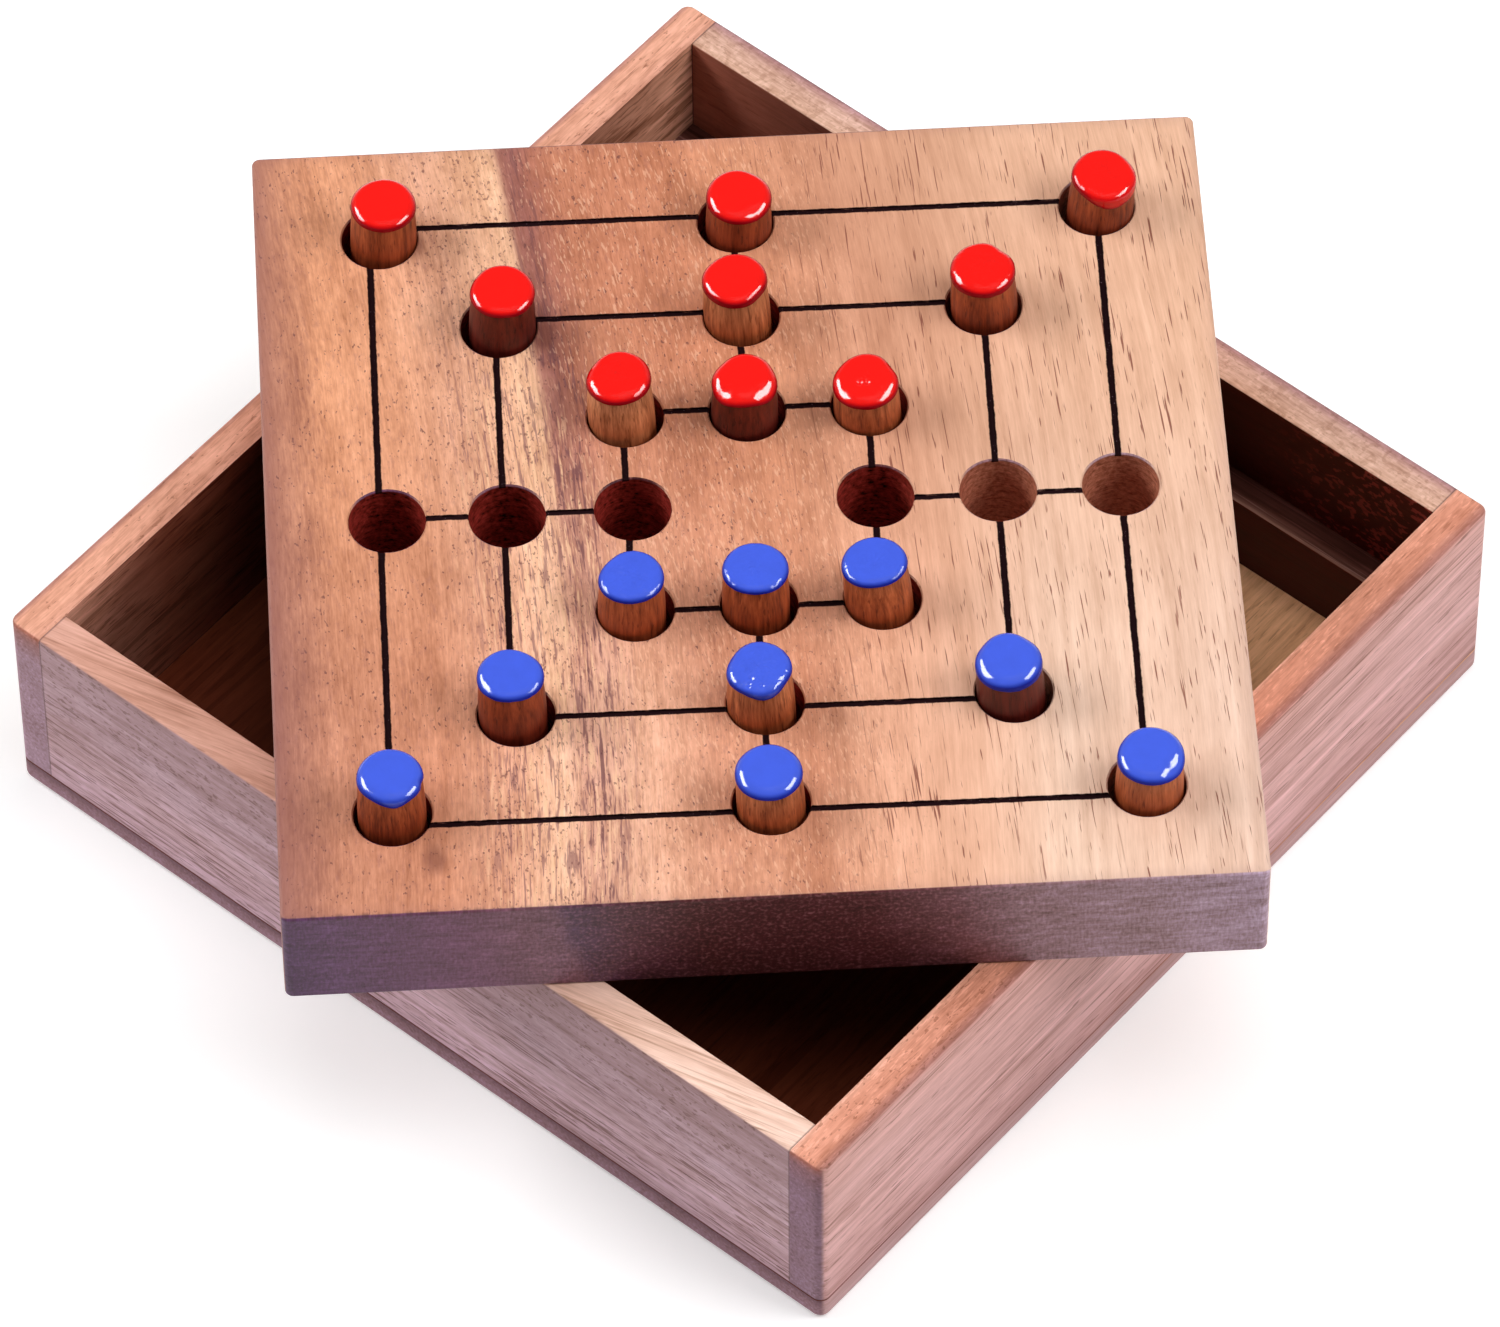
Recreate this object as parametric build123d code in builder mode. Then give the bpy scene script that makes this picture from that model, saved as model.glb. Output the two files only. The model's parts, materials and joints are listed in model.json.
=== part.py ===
"""Nine men's morris box: a wooden tray, a square playing board that is also its lid, and 18 pegs.

Millimetres, +Z up, origin at the middle of the tray's underside. The tray's rails run along X.
The board lies across the tray's rim, turned out of line with it, with the pegs standing in it.
"""
from build123d import *
from math import acos, sin
import os

os.makedirs("parts", exist_ok=True)

# ---------------------------------------------------------------- driving dimensions
# Tray
box_side = 150.0            # outside, both ways
wall_thickness = 5.8
wall_height = 32.0          # above the bottom board
bottom_thickness = 4.5
ledge_width = 4.7
corner_round = 1.6          # the tray's upright outer corners
foot_round = 1.3            # the bottom board's lower edge
rim_round = 0.6             # outer edge of the rim
inner_round = 0.3           # inner edge of the rim and the ledges' edge
seam_break = 0.15           # the small vee where two flush pieces meet

# Board, which drops in between the walls and lies on the ledges when the box is packed
board_gap = 1.0             # to each wall, when packed
board_thickness = 18.2
board_recess = 0.1          # its top below the rim, when packed
board_corner = 1.2
board_edge_round = 0.5
board_turn = -47.0          # degrees about Z, out of line with the tray
board_shift_x = -3.2        # middle of the board from the middle of the tray
board_shift_y = -2.3

# Holes: three squares of eight, one inside the other
hole_margin = 16.15         # from the board's edge to the middle of the outer holes
hole_diameter = 11.0
hole_depth = 14.5
hole_break = 0.2            # broken edge at the mouth
hole_shift = 0.6            # the drilled pattern sits a little right of the board's middle
column_drift = 0.13         # each row of holes sits this much further right than the one before it
middle_row_left = 0.4       # the row across the middle was drilled a little too far back,
middle_row_right = 0.9      # and more so on the right

# Burned lines
line_width = 0.85
line_depth = 0.3
line_margin_x = 15.85       # from the board's side edges to the outer square of lines
line_margin_y = 14.8        # and from its front and back edges
line_shift = 0.3
line_turn = -0.3            # degrees, out of line with the board
middle_line_shift = 0.4     # the lines across the middle were burned a little too far back

# Pegs
peg_diameter = 9.6
peg_tip_diameter = 8.9
peg_length = 22.0
peg_tip_length = 7.0        # the tapered part, which stands out of the board
peg_tip_round = 0.6
peg_foot_break = 0.3
play_margin = 0.06          # least clearance that a resting peg keeps to its hole
enamel_thickness = 0.15
enamel_depth = 1.3          # how far the dip coat reaches down from the tip

# ---------------------------------------------------------------- sizes that follow
half_box = box_side / 2
opening_side = box_side - 2 * wall_thickness
tray_height = bottom_thickness + wall_height
ledge_height = wall_height - board_thickness - board_recess
board_side = opening_side - 2 * board_gap
rings = ("inner", "middle", "outer")
hole_pitch = (board_side / 2 - hole_margin) / len(rings)
line_pitch_x = (board_side / 2 - line_margin_x) / len(rings)
line_pitch_y = (board_side / 2 - line_margin_y) / len(rings)
peg_radius = peg_diameter / 2
peg_tip_radius = peg_tip_diameter / 2
peg_play = hole_diameter / 2 - peg_radius - play_margin

# Rings are counted from the inside. Columns and rows are -1, 0 or 1 from the board's middle.
ring_numbers = range(1, len(rings) + 1)
columns = {"left": -1, "centre": 0, "right": 1}
rows = {"red": 1, "blue": -1}

# Holes drilled off the pattern, by ring, column and row: how far across and along the board, as a
# share of the pitch
stray_holes = {
    (3, -1, 1): (0.046, 0.0),
    (3, -1, 0): (0.023, 0.006),
    (1, -1, 0): (0.023, 0.012),
    (3, -1, -1): (-0.017, 0.069),
}

# How each peg stands: where its axis crosses the board's top and the floor of its hole, across and
# along the board as a share of its play in the hole, and by what share its length is off the others.
pegs = {
    ("red", "outer", "left"): ((0.9, 0.2), (0.3, -0.2), 0.009),
    ("red", "outer", "centre"): ((0.7, -0.6), (0.6, 0.1), -0.027),
    ("red", "outer", "right"): ((0.85, -0.4), (-0.4, 0.1), -0.009),
    ("red", "middle", "left"): ((0.8, -0.1), (0.3, 0.1), 0),
    ("red", "middle", "centre"): ((-0.9, 0.2), (0.1, -0.2), 0.014),
    ("red", "middle", "right"): ((0.1, 0.1), (0.9, 0.0), 0),
    ("red", "inner", "left"): ((-0.8, 0.3), (0.3, -0.3), 0.027),
    ("red", "inner", "centre"): ((-0.6, -0.6), (-0.6, 0.3), -0.018),
    ("red", "inner", "right"): ((-0.5, -0.7), (0.6, 0.4), -0.041),
    ("blue", "inner", "left"): ((-0.8, -0.1), (-0.7, 0.1), 0.023),
    ("blue", "inner", "centre"): ((-0.7, 0.3), (-0.6, -0.3), 0.009),
    ("blue", "inner", "right"): ((-0.9, 0.2), (0.9, -0.1), 0.009),
    ("blue", "middle", "left"): ((-0.7, 0.4), (-0.3, -0.2), 0.032),
    ("blue", "middle", "centre"): ((-0.9, 0.1), (-0.1, 0.0), 0.005),
    ("blue", "middle", "right"): ((-0.7, -0.1), (0.7, 0.1), 0),
    ("blue", "outer", "left"): ((-0.1, 0.4), (0.0, -0.2), 0.009),
    ("blue", "outer", "centre"): ((-0.1, 0.0), (0.8, 0.1), 0),
    ("blue", "outer", "right"): ((0.5, -0.2), (0.4, 0.1), -0.018),
}


def save(piece, name):
    """Label a finished piece and write it as parts/NAME.step."""
    piece.part.label = name
    export_step(piece.part, f"parts/{name}.step")


# ---------------------------------------------------------------- tray
def bottom_board():
    """The board that all four walls stand on, rounded all along its foot."""
    with BuildPart() as bottom:
        with BuildSketch():
            RectangleRounded(box_side, box_side, corner_round)
        extrude(amount=bottom_thickness)
        fillet(bottom.faces().sort_by(Axis.Z)[0].edges(), foot_round)
        chamfer(bottom.faces().sort_by(Axis.Z)[-1].edges(), seam_break)
    save(bottom, "bottom_board")


def rail(name, side):
    """A full-length wall along X. Its ends show in the tray's shorter walls."""
    outer = side * half_box
    middle = side * (half_box - wall_thickness / 2)
    with BuildPart() as wall:
        with BuildSketch(Plane.XY.offset(bottom_thickness)):
            with Locations((0, middle)):
                Rectangle(box_side, wall_thickness)
        extrude(amount=wall_height)
        upright = wall.edges().filter_by(Axis.Z)
        fillet(upright.filter_by_position(Axis.Y, outer, outer), corner_round)
        top = wall.faces().sort_by(Axis.Z)[-1].edges()
        inside = top.filter_by(Axis.X).sort_by(Axis.Y, reverse=side < 0)[0]
        fillet([edge for edge in top if edge != inside], rim_round)
        low = wall.faces().sort_by(Axis.Z)[0].edges()
        chamfer(low.sort_by(Axis.Y, reverse=side > 0)[0], seam_break)
    save(wall, name)


def end_wall(name, side):
    """A wall along Y, glued between the rails."""
    middle = side * (half_box - wall_thickness / 2)
    with BuildPart() as wall:
        with BuildSketch(Plane.XY.offset(bottom_thickness)):
            with Locations((middle, 0)):
                Rectangle(wall_thickness, opening_side)
        extrude(amount=wall_height)
        top = wall.faces().sort_by(Axis.Z)[-1].edges().filter_by(Axis.Y).sort_by(Axis.X)
        low = wall.faces().sort_by(Axis.Z)[0].edges().filter_by(Axis.Y).sort_by(Axis.X)
        outside = 0 if side < 0 else -1
        fillet(top[outside], rim_round)
        fillet(top[-1 - outside], inner_round)
        chamfer(low[outside], seam_break)
    save(wall, name)


def ledge(name, side):
    """A strip against the foot of an end wall. The packed board lies on the two of them."""
    middle = side * (opening_side - ledge_width) / 2
    with BuildPart() as strip:
        with BuildSketch(Plane.XY.offset(bottom_thickness)):
            with Locations((middle, 0)):
                Rectangle(ledge_width, opening_side)
        extrude(amount=ledge_height)
        top = strip.faces().sort_by(Axis.Z)[-1].edges().filter_by(Axis.Y).sort_by(Axis.X)
        fillet(top[-1] if side < 0 else top[0], inner_round)
    save(strip, name)


# ---------------------------------------------------------------- board
board_underside = Plane(Location((board_shift_x, board_shift_y, tray_height), (0, 0, board_turn)))
board_top = board_underside.offset(board_thickness)


def seat(ring, column, row):
    """Where a hole lies on the board, from the board's middle."""
    x = hole_shift + column * ring * hole_pitch + row * ring * column_drift
    y = row * ring * hole_pitch
    if row == 0:
        y = middle_row_left if column < 0 else middle_row_right
    stray_x, stray_y = stray_holes.get((ring, column, row), (0, 0))
    return x + stray_x * hole_pitch, y + stray_y * hole_pitch


def morris_seats():
    """The 24 holes: a square of eight on each ring."""
    return [
        seat(ring, column, row)
        for ring in ring_numbers
        for column in (-1, 0, 1)
        for row in (-1, 0, 1)
        if (column, row) != (0, 0)
    ]


def board():
    """The playing board: drilled on three squares of eight, with burned lines between the holes."""
    with BuildPart() as slab:
        with BuildSketch(board_underside):
            RectangleRounded(board_side, board_side, board_corner)
        extrude(amount=board_thickness)
        fillet(slab.faces().sort_by(Axis.Z)[-1].edges(), board_edge_round)
        fillet(slab.faces().sort_by(Axis.Z)[0].edges(), board_edge_round)

        with BuildSketch(board_top):
            with Locations(Location((line_shift, 0), line_turn)):
                for ring in ring_numbers:
                    half_width = ring * line_pitch_x
                    half_length = ring * line_pitch_y
                    with Locations((-half_width, 0), (half_width, 0)):
                        Rectangle(line_width, 2 * half_length + line_width)
                    with Locations((0, -half_length), (0, half_length)):
                        Rectangle(2 * half_width + line_width, line_width)
                inner, outer = ring_numbers[0], ring_numbers[-1]
                middle, reach = (inner + outer) / 2, outer - inner
                with Locations((0, -middle * line_pitch_y), (0, middle * line_pitch_y)):
                    Rectangle(line_width, reach * line_pitch_y)
                for side in (-1, 1):
                    with Locations((side * middle * line_pitch_x, middle_line_shift)):
                        Rectangle(reach * line_pitch_x, line_width)
        extrude(amount=-line_depth, mode=Mode.SUBTRACT)

        with Locations(board_top):
            with Locations(*morris_seats()):
                CounterSinkHole(
                    radius=hole_diameter / 2,
                    counter_sink_radius=hole_diameter / 2 + hole_break,
                    depth=hole_depth,
                    counter_sink_angle=90,
                )
    save(slab, "board_lid")


# ---------------------------------------------------------------- pegs
def peg_place(colour, ring, column):
    """The plane of a peg's foot. Its normal is the peg's own, slightly leaning, axis."""
    mouth_share, foot_share, _ = pegs[colour, ring, column]
    x, y = seat(rings.index(ring) + 1, columns[column], rows[colour])
    mouth = Vector(x, y, 0) + Vector(*mouth_share) * peg_play
    foot = Vector(x, y, -hole_depth) + Vector(*foot_share) * peg_play
    axis = (mouth - foot).normalized()
    lean = acos(axis.Z)
    foot = foot + axis * (peg_radius * sin(lean))
    place = board_top.from_local_coords(foot)
    return Plane(origin=place, z_dir=board_top.from_local_coords(foot + axis) - place)


def turned_profile(place):
    """The upright plane through a peg's axis: local X is the radius and local Y runs up the axis."""
    return Plane(origin=place.origin, x_dir=place.x_dir, z_dir=-place.y_dir)


def peg_and_enamel(colour, ring, column):
    """A wooden peg, tapered and rounded at its tip, and the coat of enamel it was dipped in."""
    place = peg_place(colour, ring, column)
    axis = Axis(place.origin, place.z_dir)
    length = peg_length * (1 + pegs[colour, ring, column][2])
    shaft_length = length - peg_tip_length
    coat_start = length - enamel_depth
    coat_radius = peg_tip_radius + (peg_radius - peg_tip_radius) * enamel_depth / peg_tip_length

    with BuildPart() as peg:
        with BuildSketch(turned_profile(place)):
            with BuildLine():
                Polyline(
                    (0, 0),
                    (peg_radius - peg_foot_break, 0),
                    (peg_radius, peg_foot_break),
                    (peg_radius, shaft_length),
                    (peg_tip_radius, length),
                    (0, length),
                    close=True,
                )
            make_face()
        revolve(axis=axis)
        fillet(peg.edges().filter_by(GeomType.CIRCLE).sort_by(axis)[-1], peg_tip_round)
    save(peg, f"{colour}_peg_{ring}_{column}")

    with BuildPart() as enamel:
        with BuildSketch(turned_profile(place)):
            with BuildLine():
                Polyline(
                    (0, coat_start),
                    (coat_radius + enamel_thickness, coat_start),
                    (peg_tip_radius + enamel_thickness, length + enamel_thickness),
                    (0, length + enamel_thickness),
                    close=True,
                )
            make_face()
        revolve(axis=axis)
        tip_edge = enamel.edges().filter_by(GeomType.CIRCLE).sort_by(axis)[-1]
        fillet(tip_edge, peg_tip_round + enamel_thickness)
        add(peg.part, mode=Mode.SUBTRACT)
    save(enamel, f"{colour}_enamel_{ring}_{column}")


bottom_board()
rail("front_rail", -1)
rail("back_rail", 1)
end_wall("left_wall", -1)
end_wall("right_wall", 1)
ledge("left_ledge", -1)
ledge("right_ledge", 1)
board()
for colour, ring, column in pegs:
    peg_and_enamel(colour, ring, column)
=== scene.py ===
"""Looks of the nine men's morris box: oiled hardwoods, burned lines, turned pegs and dipped enamel."""
import json
import math

import bpy
from mathutils import Matrix, Vector, noise


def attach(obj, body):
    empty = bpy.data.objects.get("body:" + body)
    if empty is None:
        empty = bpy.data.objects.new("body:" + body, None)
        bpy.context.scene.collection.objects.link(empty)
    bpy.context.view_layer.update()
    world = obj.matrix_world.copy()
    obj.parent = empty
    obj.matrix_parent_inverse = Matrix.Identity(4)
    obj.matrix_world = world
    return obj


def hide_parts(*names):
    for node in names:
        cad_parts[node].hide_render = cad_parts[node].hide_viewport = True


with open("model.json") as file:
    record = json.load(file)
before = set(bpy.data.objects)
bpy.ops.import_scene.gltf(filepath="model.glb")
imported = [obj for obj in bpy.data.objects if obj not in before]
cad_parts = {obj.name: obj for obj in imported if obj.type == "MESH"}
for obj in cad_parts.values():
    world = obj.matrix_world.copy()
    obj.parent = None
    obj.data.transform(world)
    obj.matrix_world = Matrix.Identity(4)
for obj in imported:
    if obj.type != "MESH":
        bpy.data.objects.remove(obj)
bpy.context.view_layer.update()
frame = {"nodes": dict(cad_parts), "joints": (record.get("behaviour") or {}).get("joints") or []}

MM = 0.001

# ---------------- sizes, in millimetres
tray_half = 75.0
tray_height = 36.5
wall_thickness = 5.8
bottom_thickness = 4.5
board_half = 68.2
board_thickness = 18.2
board_turn = math.radians(-47.0)
board_middle = (-3.2, -2.3, tray_height + board_thickness)

line_pitch_x = 17.45
line_pitch_y = 17.8
line_shift = 0.3
line_turn = math.radians(-0.3)
middle_line_shift = 0.4
line_width = 0.85
line_depth = 0.5            # how far down the char colours the wood
holes_reach = 62.0          # all holes lie within this of the board's middle, along either axis
dark_patches = ((-45.4, 50.6, 1.6), (-27.6, 33.0, 2.2), (-46.6, -59.2, 2.0))     # (x, y, size)

peg_radius = 4.8
peg_tip_radius = 4.45
peg_tip_length = 7.0
peg_sides = 84
coat_thickness = 0.15
coat_spread = 0.06          # how far the enamel's edge stands out past its own thickness
least_skirt = 0.25          # how far the enamel always reaches down past the edge of its top

# The camera: its azimuth runs from +Y towards +X and its elevation down from the horizon, in degrees,
# its place is in metres and its lens in millimetres
camera_azimuth = 49.794
camera_elevation = 52.655
camera_roll = -0.516
camera_place = (-0.74588, -0.62999, 1.29263)
camera_lens = 267.9


def srgb(red, green, blue):
    """A colour as a screen shows it, 0 to 255, in Blender's linear values."""

    def linear(value):
        value /= 255
        return value / 12.92 if value <= 0.04045 else ((value + 0.055) / 1.055) ** 2.4

    return (linear(red), linear(green), linear(blue), 1.0)


# ---------------- node trees as sums
class Value:
    """A number, colour or vector in a node tree, which can be added, scaled and compared."""

    def __init__(self, graph, socket):
        self.graph = graph
        self.socket = socket

    def __add__(self, other):
        return self.graph.math("ADD", self, other)

    def __sub__(self, other):
        return self.graph.math("SUBTRACT", self, other)

    def __rsub__(self, other):
        return self.graph.math("SUBTRACT", other, self)

    def __mul__(self, other):
        return self.graph.math("MULTIPLY", self, other)

    def __abs__(self):
        return self.graph.math("ABSOLUTE", self)

    def __pow__(self, other):
        return self.graph.math("POWER", self, other)

    __radd__ = __add__
    __rmul__ = __mul__


class Graph:
    """One material's node tree, with the few words that the woods and paints are written in."""

    def __init__(self, name):
        self.material = bpy.data.materials.new(name)
        self.material.use_nodes = True
        self.tree = self.material.node_tree
        self.tree.nodes.clear()
        self.shader = self.node("ShaderNodeBsdfPrincipled")
        self.surface = self.node("ShaderNodeOutputMaterial").inputs["Surface"]
        self.tree.links.new(self.shader.outputs[0], self.surface)

    def node(self, kind, inputs=None, **settings):
        node = self.tree.nodes.new(kind)
        for name, value in settings.items():
            setattr(node, name, value)
        for key, value in (inputs or {}).items():
            self.put(node.inputs[key], value)
        return node

    def put(self, socket, value):
        if isinstance(value, Value):
            self.tree.links.new(value.socket, socket)
        else:
            socket.default_value = value

    def finish(self, **inputs):
        """The material, once the shader's inputs are set. Their names have _ for a space."""
        for name, value in inputs.items():
            self.put(self.shader.inputs[name.replace("_", " ")], value)
        return self.material

    def math(self, operation, a, b=0.0):
        return Value(self, self.node("ShaderNodeMath", {0: a, 1: b}, operation=operation).outputs[0])

    def distance(self, x, y):
        return self.math("SQRT", x * x + y * y)

    def coordinate(self, output):
        """A texture coordinate: Object or Normal."""
        return Value(self, self.node("ShaderNodeTexCoord").outputs[output])

    def attribute(self, name, output):
        """What the mesh holds at each vertex under a name: its Vector, or its Fac for a number."""
        node = self.node("ShaderNodeAttribute", attribute_name=name)
        return Value(self, node.outputs[output])

    def least(self, first, *others):
        for other in others:
            first = self.math("MINIMUM", first, other)
        return first

    def most(self, first, *others):
        for other in others:
            first = self.math("MAXIMUM", first, other)
        return first

    def step(self, value, low, high):
        """0 below low, 1 above high, smooth between. With low above high it falls instead."""
        inputs = {"Value": value, "From Min": low, "From Max": high}
        node = self.node("ShaderNodeMapRange", inputs, interpolation_type="SMOOTHSTEP")
        return Value(self, node.outputs[0])

    def split(self, vector):
        node = self.node("ShaderNodeSeparateXYZ", {0: vector})
        return [Value(self, socket) for socket in node.outputs]

    def join(self, x, y, z):
        node = self.node("ShaderNodeCombineXYZ", {0: x, 1: y, 2: z})
        return Value(self, node.outputs[0])

    def times(self, vector, other):
        node = self.node("ShaderNodeVectorMath", {0: vector, 1: other}, operation="MULTIPLY")
        return Value(self, node.outputs[0])

    def place(self, vector, origin, turn, unit=1.0):
        """The vector as seen from an origin that is turned about the vertical, in units of its own."""
        inputs = {
            "Vector": vector,
            "Location": origin,
            "Rotation": (0, 0, turn),
            "Scale": (unit, unit, unit),
        }
        node = self.node("ShaderNodeMapping", inputs, vector_type="TEXTURE")
        return Value(self, node.outputs[0])

    def noise(self, point, size, detail=2.0, roughness=0.5, seed=0.0):
        """Cloudy noise from 0 to 1 whose clouds measure size along each axis."""
        inputs = {
            "Vector": self.times(point, tuple(1 / length for length in size)),
            "W": seed,
            "Scale": 1.0,
            "Detail": detail,
            "Roughness": roughness,
        }
        node = self.node("ShaderNodeTexNoise", inputs, noise_dimensions="4D")
        return Value(self, node.outputs[0])

    def ramp(self, value, stops):
        """A colour that runs through stops, each (value, red, green, blue), whose values rise."""
        low, high = stops[0][0], stops[-1][0]
        node = self.node("ShaderNodeValToRGB")
        elements = node.color_ramp.elements
        elements[0].color = srgb(*stops[0][1:])
        elements[1].color = srgb(*stops[-1][1:])
        for position, *colour in stops[1:-1]:
            elements.new((position - low) / (high - low)).color = srgb(*colour)
        self.put(node.inputs[0], (value - low) * (1 / (high - low)))
        return Value(self, node.outputs[0])

    def mix(self, share, a, b):
        node = self.node("ShaderNodeMix", {0: share, 6: a, 7: b}, data_type="RGBA")
        return Value(self, node.outputs[2])

    def shade(self, colour, tone):
        """The colour darker or paler. Dark wood turns redder and pale wood yellower."""
        red_power, green_power, blue_power = 0.85, 1.1, 1.3
        return self.times(colour, self.join(tone**red_power, tone**green_power, tone**blue_power))

    def bump(self, height, depth):
        """A normal from a height of 0 to 1, which stands for depth in millimetres."""
        node = self.node("ShaderNodeBump", {"Height": height, "Distance": depth * MM})
        return Value(self, node.outputs[0])


# ---------------- wood
along_x = math.radians(-90)
along_y = 0.0

# The marks that open vessels leave: their width and length in millimetres, and how far they keep to
# groups, from 0 to 1
dots = (0.46, 0.8, 0.1)
specks = (0.42, 0.8, 0.5)
dashes = (0.38, 3.6, 0.5)
long_dashes = (0.34, 8.0, 0.5)
streaks = (0.8, 30.0, 0.5)
flecks = (0.34, 1.5, 0.2)
ripples = (1.3, 0.8, 0.3)


def grain_place(graph, origin, turn):
    """Point in millimetres (across, along, up) in a piece's own grain, and its normal there."""
    origin = tuple(length * MM for length in origin)
    point = graph.place(graph.coordinate("Object"), origin, turn, MM)
    normal = graph.place(graph.coordinate("Normal"), (0, 0, 0), turn)
    return point, normal


class Grain:
    """The grain of one piece of wood, which wanders, leans and gives the figure of its faces."""

    fibres, streaks, clouds, flecks = range(4)
    figure_sizes = ((0.26, 4.5, 0.26), (1.3, 55, 1.3), (7, 16, 7), (0.6, 2.2, 0.6))

    def __init__(self, graph, point, seed, lean=0.0, warp=1.0, shift=0.0):
        self.graph = graph
        self.seed = seed
        x, y, z = graph.split(point)
        x = x + y * lean + shift
        spot = graph.join(x, y, z)
        slow = graph.noise(spot, (16, 70, 16), seed=seed) - 0.5
        quick = graph.noise(spot, (2.5, 24, 2.5), seed=seed + 0.7) - 0.5
        x = x + slow * (2 * warp) + quick * (0.35 * warp)
        self.axes = {"across": x, "along": y, "up": z}
        self.point = graph.join(x, y, z)

    def field(self, number):
        """The noise of fibres, streaks, clouds or flecks, from -0.5 to 0.5."""
        size = self.figure_sizes[number]
        return self.graph.noise(self.point, size, 2, 0.6, seed=self.seed + number + 2) - 0.5

    def tone(self, strengths):
        """Around 1, darker and paler by the strengths of fibres, streaks, clouds and flecks."""
        result = 1.0
        for number, strength in enumerate(strengths):
            if strength:
                result = self.field(number) * (2 * strength) + result
        return result

    def marks(self, kind, share, salt=0):
        """1 on scattered marks of a kind, where a noise rises above a level that share lowers."""
        graph = self.graph
        width, length, clusters = kind
        group_size = (width * 12, length * 4, width * 12)
        seed = self.seed + salt + 0.37
        level = 0.68 - 0.12 * share
        spots = graph.noise(self.point, (width, length, width), 1.5, 0.5, seed=seed)
        spots = graph.step(spots, level, level + 0.06)
        group = graph.noise(self.point, group_size, 1, 0.5, seed=seed + 0.5)
        return spots * graph.step(group, 0.32 * clusters + 0.2, 0.2 * clusters + 0.42)


def burned_lines(graph, point):
    """How far into the burned pattern a point of the board lies: 1 on a line, 0 off it."""
    spot = graph.place(point, (line_shift, 0, 0), line_turn)
    x, y, _ = graph.split(spot)
    wobble = 0.5
    x = x + (graph.noise(point, (2.2, 2.2, 2.2), 3, 0.7, seed=61) - 0.5) * wobble
    y = y + (graph.noise(point, (2.2, 2.2, 2.2), 3, 0.7, seed=62) - 0.5) * wobble
    distances = []
    for ring in (1, 2, 3):
        side = abs(x) - ring * line_pitch_x
        end = abs(y) - ring * line_pitch_y
        distances.append(abs(graph.most(side, end)))
    reach_y = abs(abs(y) - 2 * line_pitch_y) - line_pitch_y
    reach_x = abs(abs(x) - 2 * line_pitch_x) - line_pitch_x
    distances.append(graph.most(abs(x), reach_y))
    distances.append(graph.most(abs(y - middle_line_shift), reach_x))
    distance = graph.least(*distances)
    return graph.step(distance, line_width / 2 + 0.16, line_width / 2 - 0.02)


# The colours of the board's top at its back and at its front, from its left to its right
back_stops = [
    (-68, 196, 132, 100), (-58, 214, 146, 108), (-48, 218, 152, 116), (-38, 214, 156, 126),
    (-31, 222, 166, 131), (-27.8, 232, 180, 144), (-26.4, 156, 98, 84), (-24.4, 150, 92, 80),
    (-22, 174, 108, 86), (-18.5, 193, 124, 94), (-4, 194, 124, 92), (6, 208, 140, 106),
    (20, 206, 146, 116), (34, 212, 158, 128), (46, 224, 174, 144), (68, 228, 180, 150),
]
front_stops = [
    (-68, 184, 122, 96), (-58, 196, 131, 102), (-46, 198, 131, 100), (-36, 222, 160, 130),
    (-30, 244, 190, 156), (-27, 208, 150, 126), (-22, 214, 158, 132), (-18, 226, 168, 138),
    (-8, 208, 144, 114), (0, 207, 143, 112), (5, 198, 132, 101), (12, 223, 161, 130),
    (28, 231, 179, 150), (40, 235, 198, 174), (54, 230, 190, 166), (68, 232, 196, 175),
]


def board_bands(graph, y, bands, left):
    """The board's bands of colour, which change from its back to its front, with their figure."""
    across = bands.axes["across"]
    back = graph.ramp(across, back_stops)
    front = graph.ramp(across, front_stops)
    colour = graph.mix(graph.step(y, 35, -45), back, front)
    mottled = bands.field(Grain.fibres) * 0.4 + bands.field(Grain.clouds) * 0.6
    mottled = mottled + bands.field(Grain.flecks) * 0.7
    figure = bands.tone((0.2, 0.3, 0.24, 0.05)) + left * mottled
    colour = graph.shade(colour, figure + left * 0.05)
    mottle = graph.noise(bands.point, (0.8, 2.4, 0.8), 3, 0.7, seed=23)
    return graph.mix(graph.step(mottle, 0.5, 0.72) * left * 0.36, colour, srgb(146, 92, 88))


def board_bundles(graph, colour, y, bands):
    """Bundles of purple-brown and cream streaks round the dark band."""
    across = bands.axes["across"]
    bundle = graph.step(abs(across + 30), 14, 6)
    streak = graph.noise(bands.point, (0.8, 13, 0.8), 2, 0.6, seed=21)
    fine = graph.noise(bands.point, (0.36, 4.5, 0.36), 2, 0.6, seed=22)
    streak = streak * 0.5 + fine * 0.5
    cream = graph.step(streak, 0.48, 0.4) * bundle * graph.step(y + abs(across + 31) * 3, 45, 25)
    colour = graph.mix(cream * 0.7, colour, srgb(246, 198, 158))
    dark = graph.step(streak, 0.52, 0.58) * bundle * graph.step(y, 60, 15)
    colour = graph.mix(dark * 0.65, colour, srgb(124, 78, 82))
    lens = graph.step(streak, 0.5, 0.58) * graph.step(abs(across + 24.5), 3.6, 1.2)
    return graph.mix(lens * 0.5, colour, srgb(108, 66, 68))


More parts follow.
